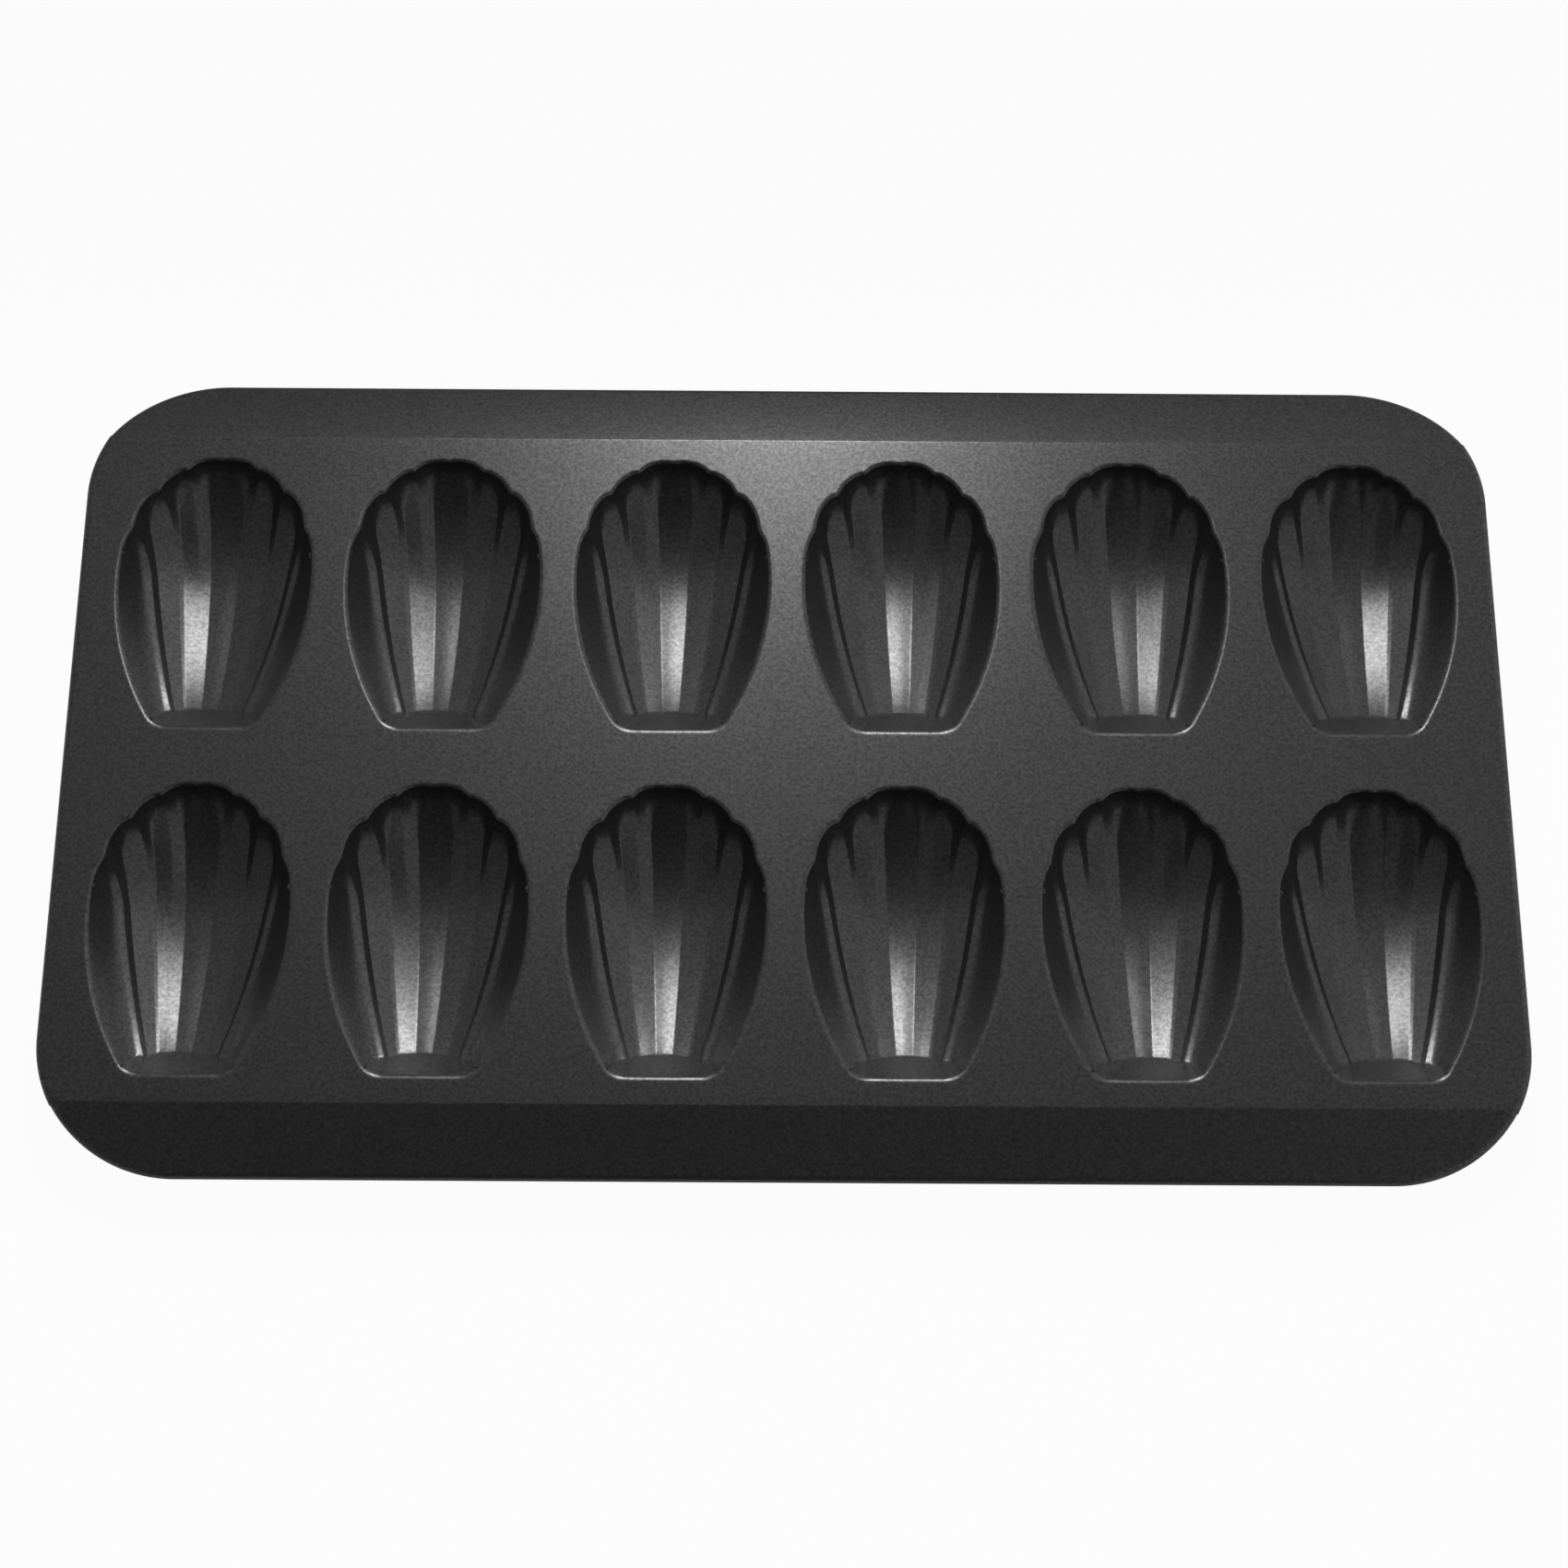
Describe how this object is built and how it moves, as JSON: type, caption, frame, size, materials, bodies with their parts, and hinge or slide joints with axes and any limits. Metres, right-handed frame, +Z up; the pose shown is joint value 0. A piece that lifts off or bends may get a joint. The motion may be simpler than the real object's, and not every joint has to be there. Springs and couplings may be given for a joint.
{
  "type": "madeleine pan",
  "caption": "Rectangular steel baking pan with shell-shaped fluted cups in rows, folded-down long sides and an edge rolled over a wire.",
  "frame": {"origin": "on the table, under the middle of the pan, at the height of the lowest points of the cups", "axes": "+X along the pan's long side, +Y towards the scalloped ends of the cups, +Z up out of the cups"},
  "size_m": [0.37, 0.2192, 0.0155],
  "materials": {
    "coated_steel": "dark satin non-stick coating on pressed sheet steel",
    "wire_steel": "bare drawn steel wire"
  },
  "bodies": {
    "root": {"pan_sheet": "coated_steel", "rim_wire": "wire_steel"}
  },
  "joints": []
}
